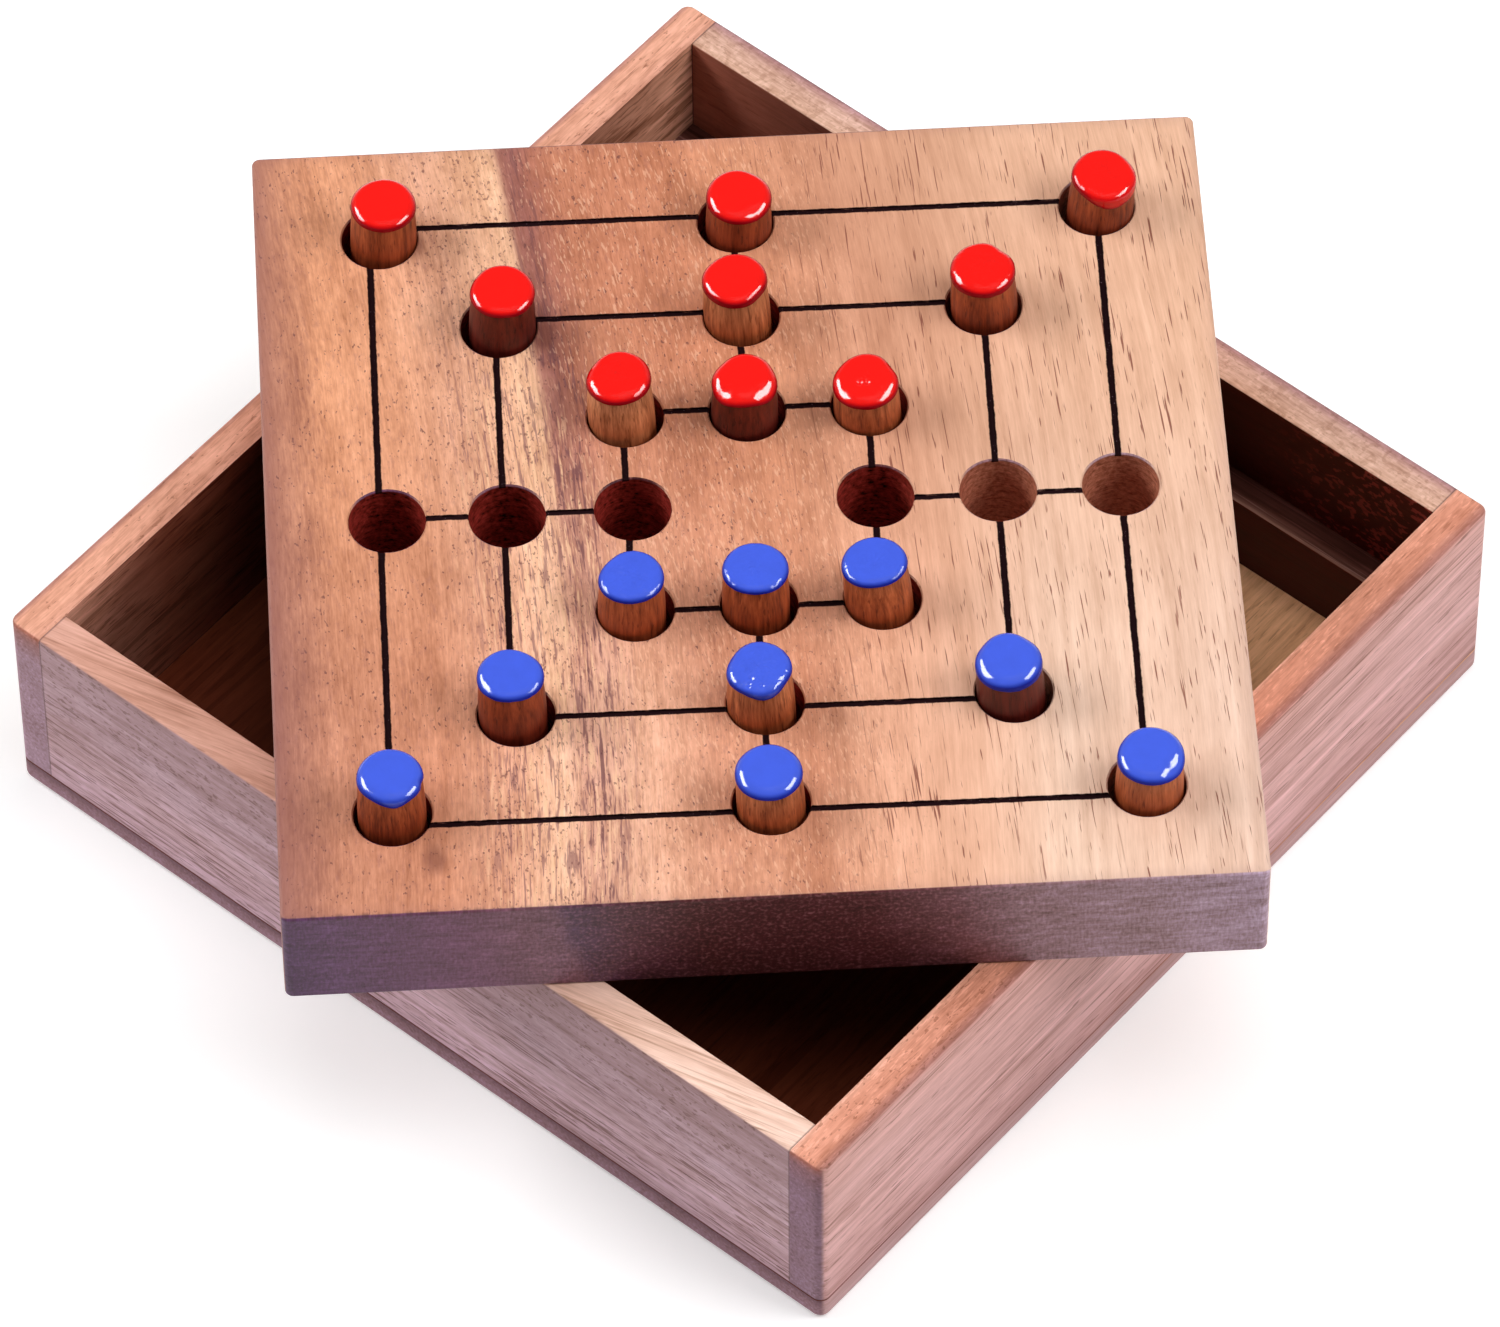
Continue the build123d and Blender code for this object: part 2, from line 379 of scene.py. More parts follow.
def board_vessels(graph, point, colour, across, left):
    """Dots on the left, short pale flecks in the middle and thin dashes on the right."""
    leaning = Grain(graph, point, seed=31, lean=0.07, warp=0.5)
    dot = leaning.marks(dots, 0.55) * graph.step(abs(across + 33), 10, 5)
    colour = graph.mix(dot * 0.65, colour, srgb(112, 66, 62))
    sparse = leaning.marks(specks, 0.35, salt=1) * left
    colour = graph.mix(sparse * 0.7, colour, srgb(98, 56, 56))
    steep = Grain(graph, point, seed=41, lean=0.2, warp=0.6)
    pale = steep.marks(flecks, 0.8) * graph.step(abs(across + 4), 28, 16)
    colour = graph.mix(pale * 0.42, colour, srgb(246, 192, 160))
    thin = leaning.marks((0.28, 8.5, 0.4), 0.4, salt=3)
    short = leaning.marks((0.3, 4.0, 0.6), 0.25, salt=4)
    dash = graph.most(thin, short) * graph.step(across, -4, 22)
    colour = graph.mix(dash * 0.9, colour, srgb(134, 74, 58))
    return colour, graph.most(dash, sparse)


def board_patches_and_wear(graph, colour, x, y, bands):
    """Darker patches beside three of the holes, and edges that handling has darkened."""
    for middle_x, middle_y, size in dark_patches:
        apart = graph.distance(x - middle_x, (y - middle_y) * 0.6)
        patch_mask = graph.step(apart + bands.field(Grain.clouds) * 2.5, size * 1.2, size * 0.3)
        colour = graph.mix(patch_mask * 0.6, colour, srgb(118, 64, 52))
    rub = bands.field(Grain.clouds) * 4.0 + bands.field(Grain.flecks) * 3.0
    edge = graph.step(graph.most(abs(x), abs(y)) + rub, board_half - 2.7, board_half + 0.6)
    left_edge = graph.step(x + rub * 1.5, 10.2 - board_half, 0.7 - board_half)
    return graph.mix(edge * 0.2 + left_edge * 0.45, colour, srgb(132, 84, 86))


def board_top(graph, point):
    """The top of the flat-sawn board: a brown side with a dark streak, and a pale side with dashes."""
    x, y, _ = graph.split(point)
    drift = y * 0.055 + y * y * 0.0006
    bands = Grain(graph, point, seed=3, warp=1.3, shift=drift)
    across = bands.axes["across"]
    left = 1.0 - graph.step(across, -6, 30)
    colour = board_bands(graph, y, bands, left)
    colour = board_bundles(graph, colour, y, bands)
    colour, vessels = board_vessels(graph, point, colour, across, left)
    return board_patches_and_wear(graph, colour, x, y, bands), vessels


# The colours of its end grain, from its left to its right. The pale, bluish ends are a painted
# reflection of the side lamps, and the darker middle is painted shade.
end_grain_and_sheen_stops = [
    (-71, 82, 46, 82), (-62, 100, 60, 92), (-45, 116, 68, 92), (-36, 124, 78, 92),
    (-31, 120, 78, 92), (-29, 88, 54, 76), (-22, 86, 42, 54), (-12, 76, 26, 28),
    (12, 84, 32, 34), (24, 114, 66, 72), (34, 150, 110, 116), (50, 166, 130, 138),
    (66, 178, 146, 162),
]


def board_end(graph, point):
    """End grain at the front and the back: pores, growth rings round a pith below on the right, and a
    painted sheen towards both ends.
    """
    x, y, z = graph.split(point)
    flat = graph.join(x, 0.0, z)
    cloud = graph.noise(flat, (8, 1, 5), 3, 0.6, seed=13) - 0.5
    colour = graph.ramp(x + z * 0.22 + cloud * 4, end_grain_and_sheen_stops)
    middle = graph.step(abs(x - 2), 46, 20)
    pores = graph.noise(flat, (0.62, 1, 0.55), 1.5, 0.5, seed=12)
    colour = graph.shade(colour, (pores - 0.5) * (middle * 0.9 + 0.9) + 0.98)
    light = graph.step(pores, 0.48, 0.7) * (middle * 0.26 + 0.03)
    colour = graph.mix(light, colour, srgb(178, 116, 116))
    pith_x, pith_z = 78.0, -105.0
    ring = graph.distance(x - pith_x, z - pith_z) + cloud * 3
    rings = graph.noise(graph.join(ring, 0.0, 0.0), (1.1, 1, 1), 3, 0.7, seed=14) - 0.5
    fuzz = graph.noise(flat, (0.34, 1, 1.6), 2, 0.6, seed=15) - 0.5
    layers = graph.noise(flat, (7, 1, 0.8), 3, 0.65, seed=16) - 0.5
    return graph.shade(colour, rings * 1.0 + layers * 1.5 + fuzz * 1.3 + cloud * 0.9 + 1.0)


def board_wood():
    """The playing board, whose grain runs from front to back."""
    graph = Graph("board_wood")
    point, normal = grain_place(graph, board_middle, board_turn)
    x, y, z = graph.split(point)
    colour, vessels = board_top(graph, point)
    normal_x, normal_y, _ = graph.split(normal)
    is_end = graph.step(abs(normal_y), 0.25, 0.6)
    colour = graph.mix(is_end, colour, board_end(graph, point))

    # Nicks along the left of the top's front edge
    nick = graph.noise(graph.join(x, 0.0, 0.0), (1.6, 1, 1), 3, 0.7, seed=17)
    nick = graph.step(nick, 0.46, 0.62) * graph.step(x, 10, -20)
    nick = nick * graph.step(y, 0.9 - board_half, 0.2 - board_half) * graph.step(z, -0.9, -0.5)
    colour = graph.mix(nick * 0.6, colour, srgb(84, 52, 54))

    # Inside the holes: brown wood torn by the drill, with faint rings, paler on the board's pale side.
    # The walls that face the board's left and right are lighter: painted light.
    reach = graph.most(abs(x), abs(y))
    in_hole = graph.step(z, -0.15, -0.5) * graph.step(reach, holes_reach, holes_reach - 1)
    ring_marks = graph.noise(graph.join(x, y, z), (5, 5, 0.3), 3, 0.6, seed=9) - 0.5
    torn = graph.noise(point, (0.9, 0.9, 0.7), 3, 0.65, seed=10) - 0.5
    pale_side = graph.step(x, 20, 34)
    drilled = graph.mix(pale_side, srgb(146, 46, 38), srgb(154, 90, 66))
    light = pale_side * 0.75 + abs(normal_x) * 0.4 + 0.6
    drilled = graph.shade(drilled, ring_marks * 2.0 + torn * 4.0 + light)
    colour = graph.mix(in_hole, colour, drilled)

    # Charred lines, with a glint here and there
    char = burned_lines(graph, point) * graph.step(z, -line_depth - 0.2, -line_depth)
    glint = graph.step(graph.noise(point, (0.3, 0.3, 0.3), 1, 0.5, seed=71), 0.68, 0.74)
    colour = graph.mix(char, colour, graph.mix(glint, srgb(28, 8, 12), srgb(104, 84, 92)))

    fibre = graph.noise(point, (0.25, 6, 0.25), 2, 0.6, seed=18) - 0.5
    height = fibre * 0.3 - vessels * 0.5 + torn * in_hole * 0.8 + 0.6
    return graph.finish(
        Base_Color=colour,
        Roughness=fibre * 0.2 + vessels * 0.2 + char * 0.1 + 0.5,
        Specular_IOR_Level=0.35 - graph.most(char, in_hole) * 0.25,
        Normal=graph.bump(height, 0.06),
    )


def face_towards(graph, normal, direction):
    """1 where the surface faces a direction of the grain's own axes, 0 where it faces elsewhere."""
    node = graph.node("ShaderNodeVectorMath", {0: normal, 1: direction}, operation="DOT_PRODUCT")
    return graph.step(Value(graph, node.outputs["Value"]), 0.45, 0.8)


def strip_wood(name, turn, seed, faces, seams=()):
    """A planed strip whose faces differ, with a dark line at each seam, which is given as (axis, place).

    Each face says which way it looks in the grain's axes (across, along, up), which of the three its
    colours run over, the colours, how strong its figure is, and its marks. A mark has a kind, a share,
    the tone that it gives, a strength, and where needed a window: an axis, and where on it the mark
    starts and is full. A face's lean is how far its grain runs out of the strip's own line.
    """
    seam_width, seam_dark = 0.34, srgb(76, 42, 42)
    graph = Graph(name)
    point, normal = grain_place(graph, (0, 0, 0), turn)
    grains = {}
    colour = None
    for face in faces:
        lean = face.get("lean", 0.0)
        if lean not in grains:
            grains[lean] = Grain(graph, point, seed + len(grains) * 0.31, lean=lean, warp=0.8)
        grain = grains[lean]
        wander = grain.field(Grain.clouds) * face.get("wander", 0.0)
        painted = graph.ramp(grain.axes[face["over"]] + wander, face["stops"])
        painted = graph.shade(painted, grain.tone(face["figure"]))
        for salt, (kind, share, tone, strength, *window) in enumerate(face.get("marks", [])):
            amount = grain.marks(kind, share, salt) * strength
            for axis, low, high in window:
                amount = amount * graph.step(grain.axes[axis], low, high)
            painted = graph.mix(amount, painted, graph.shade(painted, tone))
        if colour is None:
            colour = painted
        else:
            colour = graph.mix(face_towards(graph, normal, face["towards"]), colour, painted)
    axes = dict(zip(("across", "along", "up"), graph.split(point)))
    for axis, place in seams:
        gap = graph.step(abs(axes[axis] - place), seam_width, 0.1)
        colour = graph.mix(gap * 0.6, colour, seam_dark)
    fibre = grains[0.0].field(Grain.fibres)
    return graph.finish(
        Base_Color=colour,
        Roughness=fibre * 0.2 + 0.52,
        Specular_IOR_Level=0.2,
        Normal=graph.bump(fibre * 0.5 + 0.5, 0.05),
    )


# ---------------- the tray's woods
# Each piece of the tray was sawn from other stock, so each has colours of its own. A rail's grain runs
# along X, so across is from its back to its front. A wall's grain runs along Y, so across is from the
# left to the right. The first face of a piece is the one that the others are laid over.
foot, rim = bottom_thickness, tray_height
inner = tray_half - wall_thickness
foot_seam = ("up", foot)
wall_seams = [foot_seam, ("along", -inner), ("along", inner)]
end_figure = (0.0, 0.0, 0.35, 0.6)
end_marks = [((0.7, 9, 0.5), 0.8, 0.65, 0.6), ((0.6, 9, 0.5), 0.8, 1.4, 0.5)]
left_end = dict(
    towards=(0, -1, 0),
    over="up",
    stops=[(foot, 148, 113, 127), (30, 140, 103, 119), (34.5, 142, 95, 102), (rim, 168, 100, 86)],
    figure=end_figure,
    marks=end_marks,
)
right_end = dict(left_end, towards=(0, 1, 0))
pale_stops = [(foot, 172, 136, 150), (30, 166, 130, 142), (34.5, 156, 106, 104), (rim, 176, 106, 86)]
pale_left_end = dict(left_end, stops=pale_stops)


def shaded_inside(towards, low, high):
    """The inside of a piece that stands under the board, with its colours at the foot and the rim. Its
    dark colours, darkest at the foot, are painted shade under the board.
    """
    return dict(
        towards=towards,
        over="up",
        stops=[(foot, *low), (rim, *high)],
        figure=(0.2, 0.4, 0.3),
        marks=[(dashes, 0.6, 0.6, 0.7)],
    )


def front_rail_wood():
    outside = dict(
        over="up",
        stops=[(foot, 198, 148, 144), (14, 222, 172, 168), (26, 218, 168, 162), (rim, 216, 162, 152)],
        figure=(0.3, 0.6, 0.22, 0.12),
        marks=[
            (streaks, 0.9, 0.7, 0.7),
            ((0.5, 16, 0.5), 0.7, 0.5, 0.85),
            ((0.44, 5, 0.6), 0.5, 0.42, 0.8),
        ],
        wander=6.0,
    )
    inside = shaded_inside((-1, 0, 0), (60, 26, 18), (96, 52, 36))
    top = dict(
        towards=(0, 0, 1),
        over="across",
        stops=[
            (inner, 228, 166, 142),
            (70.2, 216, 147, 121),
            (73, 212, 143, 118),
            (74, 184, 124, 108),
            (tray_half, 165, 108, 98),
        ],
        figure=(0.35, 0.3, 0.45, 0.3),
        marks=[
            (dots, 0.6, 0.5, 0.7, ("along", 30, -30)),
            (dashes, 0.7, 0.6, 0.7),
            (flecks, 0.9, 1.35, 0.6),
        ],
        wander=0.6,
    )
    faces = [outside, inside, top, left_end, right_end]
    return strip_wood("front_rail_wood", along_x, 11, faces, [foot_seam])


def back_rail_wood():
    outside = dict(
        # Darker towards the foot: painted shade, as inside the tray.
        over="up",
        stops=[(foot, 110, 52, 32), (26, 150, 88, 60), (rim, 178, 116, 86)],
        figure=(0.3, 0.6, 0.4, 0.2),
    )
    # Painted light and shade: pale near both corners, where light reaches, and dark across the middle,
    # where the board's shadow falls.
    inside = dict(
        towards=(1, 0, 0),
        over="along",
        stops=[
            (-69, 236, 172, 146),
            (-48, 176, 106, 82),
            (-30, 120, 64, 46),
            (35, 140, 78, 56),
            (69, 240, 176, 146),
        ],
        figure=(0.3, 0.6, 0.4, 0.2),
        marks=[(dashes, 1.0, 0.45, 0.8), ((1.3, 14, 0.5), 0.9, 0.45, 0.7)],
        wander=8.0,
    )
    top = dict(
        towards=(0, 0, 1),
        over="across",
        stops=[
            (-tray_half, 184, 128, 118),
            (-74, 222, 160, 134),
            (-71.5, 224, 162, 136),
            (-inner, 206, 146, 124),
        ],
        figure=(0.35, 0.4, 0.35, 0.3),
        marks=[
            ((0.36, 2.4, 0.4), 0.35, 0.42, 0.85, ("across", -74, -72)),
            (long_dashes, 0.6, 0.55, 0.6),
            (specks, 0.3, 0.5, 0.7),
        ],
    )
    faces = [outside, inside, top, pale_left_end, right_end]
    return strip_wood("back_rail_wood", along_x, 23, faces, [foot_seam])


def left_wall_wood():
    outside = dict(
        over="up",
        stops=[(foot, 208, 169, 180), (14, 206, 168, 175), (22, 192, 156, 163), (rim, 168, 132, 134)],
        figure=(0.35, 0.6, 0.3, 0.3),
        marks=[
            ((0.56, 1.1, 0.1), 0.8, 0.45, 0.7, ("up", 17, 27)),
            (dashes, 0.9, 0.4, 0.8, ("up", 31, 22)),
            ((0.42, 11, 0.4), 0.95, 0.38, 0.9, ("up", 27, 16)),
            (streaks, 0.9, 0.7, 0.7, ("up", 26, 12)),
        ],
        wander=5.0,
    )
    inside = shaded_inside((1, 0, 0), (50, 22, 16), (90, 48, 34))
    top = dict(
        towards=(0, 0, 1),
        over="along",
        stops=[
            (-70, 242, 204, 186),
            (-40, 238, 196, 176),
            (10, 228, 176, 156),
            (50, 214, 160, 140),
            (70, 208, 156, 138),
        ],
        figure=(0.3, 0.45, 0.15, 0.12),
        marks=[
            ((0.4, 24, 0.5), 0.9, 0.62, 0.7),
            ((0.4, 9, 0.5), 0.5, 0.6, 0.6),
            ((1.6, 40, 0.5), 0.9, 0.82, 0.7),
        ],
        lean=0.236,
    )
    return strip_wood("left_wall_wood", along_y, 37, [outside, inside, top], wall_seams)


def right_wall_wood():
    # Painted shade: dark where the board leaves it unlit, paler towards the end where light gets in.
    inside = dict(
        over="along",
        stops=[(-69, 80, 20, 12), (20, 54, 12, 8), (45, 112, 58, 46), (69, 168, 98, 78)],
        figure=(0.3, 0.3, 0.4, 0.3),
        marks=[
            (dashes, 0.7, 0.5, 0.6),
            ((0.8, 1.2, 0.1), 1.2, 6.0, 0.85, ("along", -36, -60), ("up", 12, 22)),
        ],
    )
    outside = dict(
        towards=(1, 0, 0),
        over="up",
        stops=[(foot, 158, 120, 112), (rim, 170, 130, 118)],
        figure=(0.3, 0.5, 0.3, 0.2),
        marks=[(dots, 0.9, 0.5, 0.7), (dashes, 0.8, 0.5, 0.7)],
    )
    top = dict(
        towards=(0, 0, 1),
        over="across",
        stops=[
            (inner, 212, 168, 144),
            (73, 210, 167, 149),
            (74.4, 182, 136, 134),
            (tray_half, 120, 80, 88),
        ],
        figure=(0.35, 0.2, 0.5, 0.45),
        marks=[
            (ripples, 1.2, 1.2, 0.55),
            ((1.4, 1.1, 0.3), 1.0, 0.74, 0.6),
            (specks, 0.6, 0.55, 0.5),
        ],
    )
    return strip_wood("right_wall_wood", along_y, 51, [inside, outside, top], wall_seams)


def ledge_wood(name, seed):
    # The ledges stand under the board: their dark colours are painted shade, and the top darkens most
    # towards the wall.
    side = dict(
        over="up",
        stops=[(foot, 66, 8, 8), (18, 86, 14, 12)],
        figure=(0.3, 0.5, 0.3),
        marks=[(dashes, 0.7, 0.55, 0.6)],
    )
    top = dict(
        towards=(0, 0, 1),
        over="across",
        stops=[(64.5, 142, 100, 84), (65.1, 104, 66, 56), (66.2, 76, 40, 32), (70, 50, 18, 14)],
        figure=(0.5, 1.3, 0.4),
        marks=[(streaks, 1.0, 0.4, 0.9), ((0.4, 18, 0.3), 1.0, 2.6, 0.7)],
    )
    return strip_wood(name, along_y, seed, [side, top])


def bottom_board_wood():
    edge = dict(
        over="up",
        stops=[(0, 200, 160, 160), (foot, 190, 146, 144)],
        figure=(0.25, 0.4, 0.2, 0.1),
        marks=[(long_dashes, 0.6, 0.65, 0.6)],
    )
    left_edge = dict(
        towards=(0, -1, 0),
        over="up",
        stops=[(0, 166, 126, 138), (2.5, 154, 114, 124), (foot, 110, 72, 80)],
        figure=end_figure,
        marks=end_marks,
    )
    # Painted shade and light: dark where the board shades the floor, and pale where light reaches it.
    inside = dict(
        towards=(0, 0, 1),
        over="along",
        stops=[
            (-tray_half, 112, 46, 26),
            (-20, 116, 56, 34),
            (20, 200, 134, 94),
            (50, 234, 172, 126),
            (tray_half, 236, 178, 134),
        ],
        figure=(0.3, 0.4, 0.2, 0.15),
        marks=[((1.2, 30, 0.5), 1.0, 0.55, 0.7), (dashes, 0.8, 0.55, 0.6)],
    )
    return strip_wood("bottom_board_wood", along_x, 79, [edge, left_edge, inside])


# ---------------- pegs and their enamel
# What is odd about each peg. tone is 0 for the darkest wood and 1 for the palest. Angles are in degrees
# from the board's right-hand side, counter-clockwise seen from above, so 270 is the front.
# flats pull the outline in: (angle, depth in mm, half width in degrees). drips let the enamel run down:
# (angle, length in mm, half width). rim is the rounding of the edge in mm, and soft widens it at angles.
# dome lifts the middle of the top above the edge, dish sets hollows in it (place and radius in mm), and
# bumps makes it uneven. skirt is how far the enamel reaches down the side, lift raises the enamel and
# lean moves the peg's top back, in mm.
peg_makes = {
    "red_outer_left": dict(tone=0.48, flats=[(120, 0.1, 30)], rim=0.55),
    "red_outer_centre": dict(tone=0.36, flats=[(60, 0.15, 25)], soft=[(300, 0.5, 25)]),
    "red_outer_right": dict(
        tone=0.4, flats=[(215, 0.3, 30), (35, 0.2, 25)], rim=0.5,
        drips=[(280, 1.7, 34), (330, 0.8, 25)], bumps=0.8,
    ),
    "red_middle_left": dict(
        tone=0.1, flats=[(150, 0.2, 30), (270, 0.2, 35)], rim=0.5, skirt=0.95, lift=0.4, lean=0.5,
    ),
    "red_middle_centre": dict(
        tone=0.72, flats=[(225, 0.3, 30), (130, 0.15, 25), (320, 0.3, 25)], rim=0.5, skirt=1.4,
        lift=0.3,
    ),
    "red_middle_right": dict(
        tone=0.38, flats=[(48, 0.4, 18), (230, 0.2, 30)], bumps=0.9, skirt=1.5, lift=0.4,
        lean=0.3,
    ),
    "red_inner_left": dict(tone=0.8, flats=[(140, 0.45, 35), (215, 0.1, 30)], bumps=0.8, lean=0.5),
    "red_inner_centre": dict(
        tone=0.1, flats=[(135, 0.4, 30), (20, 0.15, 20), (270, 0.4, 40)], rim=0.65,
        soft=[(216, 0.8, 26), (322, 0.8, 26)], dome=0.25, lift=0.4, lean=0.5,
    ),
    "red_inner_right": dict(
        tone=0.6, flats=[(30, 0.35, 20), (140, 0.2, 30), (270, 0.2, 40)], rim=0.6,
        soft=[(210, 0.5, 30), (325, 0.5, 30)], dish=[(0.3, -0.7, 0.36), (-0.8, -0.6, 0.42)],
        bumps=0.6,
    ),
    "blue_inner_left": dict(
        tone=0.5, flats=[(135, 0.5, 35), (270, 0.35, 45)], rim=0.45, skirt=0.9, bumps=1.1,
    ),
    "blue_inner_centre": dict(tone=0.48, flats=[(265, 0.45, 50)], rim=0.45, skirt=0.9, bumps=1.0),
    "blue_inner_right": dict(tone=0.58, flats=[(275, 0.75, 55)], rim=0.45, skirt=0.85, bumps=1.0),
    "blue_middle_left": dict(
        tone=0.34, flats=[(60, 0.2, 30), (270, 0.4, 45)], rim=0.5, skirt=1.0,
        soft=[(205, 0.3, 18)], bumps=0.6, lean=0.35,
    ),
    "blue_middle_centre": dict(
        tone=0.68, flats=[(150, 0.4, 30), (325, 0.35, 25), (235, 0.2, 25)],
        drips=[(280, 0.8, 24)], dish=[(-1.2, -2.0, 0.4), (-1.6, -2.9, 0.45), (0.2, -3.3, 0.4)],
        bumps=1.25, lift=0.4,
    ),
    "blue_middle_right": dict(
        tone=0.08, flats=[(50, 0.3, 25), (140, 0.25, 25)], rim=0.7, soft=[(215, 0.4, 28)],
        skirt=1.7,
    ),
    "blue_outer_left": dict(
        tone=0.46, flats=[(345, 0.3, 10), (225, 0.2, 25)], drips=[(276, 1.0, 20)], skirt=1.15,
        lift=0.3, lean=0.3,
    ),
    "blue_outer_centre": dict(tone=0.66, flats=[(60, 0.1, 30), (270, 0.15, 40)], rim=0.7),
    "blue_outer_right": dict(
        tone=0.6, flats=[(140, 0.1, 30)], rim=0.65, soft=[(326, 0.9, 30)], skirt=1.4, lift=0.4,
    ),
}


def near(angle, middle, width):
    """1 at the middle angle, falling to 0 a width away on either side. All in degrees."""
    apart = (angle - middle + 180) % 360 - 180
    return math.exp(-((apart / width) ** 2))


class PegShape:
    """The form of one peg's top in its own millimetres: z is 0 at the top of its wood, and points up."""

    edge_wave = 0.1         # how far the enamel's edge wanders in and out
    body_wave = 0.03        # and how far the bare wood's side does
    shoulder_widths = (2.4, 1.6)    # the shoulder's width for each mm of rim and of soft
    back = (90, 65)         # the angle of the peg's back, and its half width
    back_trim = 0.45        # the share by which the shoulder is narrower there
    steepest_tilt = 52      # degrees that the top has tilted by where it meets the side
    soft_tilt = 6           # and how much less that is for each mm of soft
    hollow_depth = 0.8      # a hollow's depth for each mm of its radius
    bump_height = 0.07
    drip_share = 0.7        # the share of its length that a drip runs past the lower edge
    drip_end = 0.25         # a drip's lowest stretch, where the enamel is at its thinnest
    thin_drip = 0.5         # the height over which it gets thicker above that
    thin_edge = 0.45        # the width inside the edge of the top over which the enamel thins

    def __init__(
        self, number, tone, flats=(), rim=0.6, soft=(), dome=0.1, skirt=1.25, lift=0.0, lean=0.0,
        drips=(), dish=(), bumps=0.25,
    ):
        self.number, self.tone, self.bumps = number, tone, bumps
        self.flats, self.soft, self.drips, self.dish = flats, soft, drips, dish
        self.rim, self.dome, self.skirt = rim, dome, skirt
        self.lift, self.lean = lift, lean

    def wave(self, angle, turns, salt):
        """Smooth noise round the peg, from -1 to 1."""
        way = math.radians(angle)
        spot = Vector((math.cos(way) * turns, math.sin(way) * turns, self.number * 7.3 + salt))
        return noise.noise(spot)

    def outline(self, angle):
        """Radius of the enamel's edge."""
        radius = peg_tip_radius + coat_thickness + coat_spread
        radius += self.edge_wave * self.wave(angle, 0.9, 0)
        return radius - sum(depth * near(angle, middle, width) for middle, depth, width in self.flats)

    def roughness(self, share, spot):
        """The top's bumps and hollows: broad ones that calm down at the edge, and fine ones."""
        broad = noise.noise(spot * 0.75) - 0.6 + noise.noise(spot * 1.9) * 0.35
        return broad * min(1.0, (1 - share) * 6 + 0.4) + noise.noise(spot * 2.8) * self.bumps

    def top(self, share, angle):
        """Point (radius, z) of the enamel's top at a share of the way from the middle to the edge.

        The top is all but flat as far as the shoulder, and from there it tilts steadily more. The
        drop is what that tilt adds up to.
        """
        edge = self.outline(angle)
        soft = sum(extra * near(angle, middle, width) for middle, extra, width in self.soft)
        rim_width, soft_width = self.shoulder_widths
        widest = rim_width * self.rim + soft_width * soft
        shoulder = min(edge, widest * (1 - self.back_trim * near(angle, *self.back)))
        steepest = math.radians(self.steepest_tilt - self.soft_tilt * soft)
        radius = share * edge
        over = max(0.0, (radius - edge + shoulder) / shoulder)
        drop = -math.log(math.cos(over * steepest)) * shoulder / steepest
        bulge = self.dome * (radius / edge) ** 2
        way = math.radians(angle)
        spot = Vector((radius * math.cos(way), radius * math.sin(way), self.number * 5.1))
        for x, y, size in self.dish:
            apart = (spot.x - x) ** 2 + (spot.y - y) ** 2
            bulge += self.hollow_depth * size * math.exp(-apart / size**2)
        uneven = self.bumps * self.bump_height * self.roughness(share, spot)
        return radius, coat_thickness + self.lift - drop - bulge + uneven

    def side(self, z, angle):
        """Radius of the bare wood at a height below the top."""
        sunk = min(1.0, max(0.0, -z / peg_tip_length))
        tip = self.outline(angle) - coat_thickness
        spread = sunk * sunk * (3 - 2 * sunk)
        body = peg_radius - self.body_wave + self.body_wave * self.wave(angle, 1.5, 3)
        return min(tip + (body - tip) * spread, peg_radius)

    def cover_and_shade(self, vertex):
        """How well the enamel covers, and where painted shade darkens it: 1 on top, falling to 0 at the
        rounded edge or low in a drip.
        """
        x, y, z = vertex
        angle = math.degrees(math.atan2(y, x))
        inward = self.outline(angle) - math.hypot(x, y)
        drip = sum(near(angle, middle, width) for middle, _, width in self.drips)
        above_end = z - self.edge_z(angle) - self.drip_end
        in_drip = min(0.5, drip * above_end / self.thin_drip)
        return min(1.0, max(0.0, inward / self.thin_edge, in_drip))

    def bent(self, vertex):
        """The vertex moved back with the peg's top, which leans in its hole."""
        x, y, z = vertex
        return x, y + self.lean * min(1.0, max(0.0, 1 + z / peg_tip_length)), z

    def edge_z(self, angle):
        """Height of the enamel's lower edge."""
        depth = self.skirt * (1 + 0.12 * self.wave(angle, 1.8, 5)) + 0.06 * self.wave(angle, 6, 9)
        drop = sum(length * near(angle, middle, width) for middle, length, width in self.drips)
        return self.lift - depth - drop * self.drip_share


def turned(rings, first, last):
    """Vertices and faces of a closed form: a point, rings of points, and a point."""
    vertices = [first]
    for ring in rings:
        vertices.extend(ring)
    vertices.append(last)
    faces = []
    for side in range(peg_sides):
        beside = (side + 1) % peg_sides
        faces.append((0, 1 + side, 1 + beside))
        for ring in range(len(rings) - 1):
            upper, lower = 1 + ring * peg_sides, 1 + (ring + 1) * peg_sides
            faces.append((upper + side, lower + side, lower + beside, upper + beside))
        base = 1 + (len(rings) - 1) * peg_sides
        faces.append((len(vertices) - 1, base + beside, base + side))
    return vertices, faces


def ring_of(point_at):
    """A ring from a function that gives (radius, z) at an angle."""
    ring = []
    for side in range(peg_sides):
        angle = side * 360 / peg_sides
        radius, z = point_at(angle)
        way = math.radians(angle)
        ring.append((radius * math.cos(way), radius * math.sin(way), z))
    return ring


def inner_depth(share):
    """How far the wood lies under the enamel's top: deeper in the middle, to clear the hollows."""
    return coat_thickness * (4 - 3 * share)


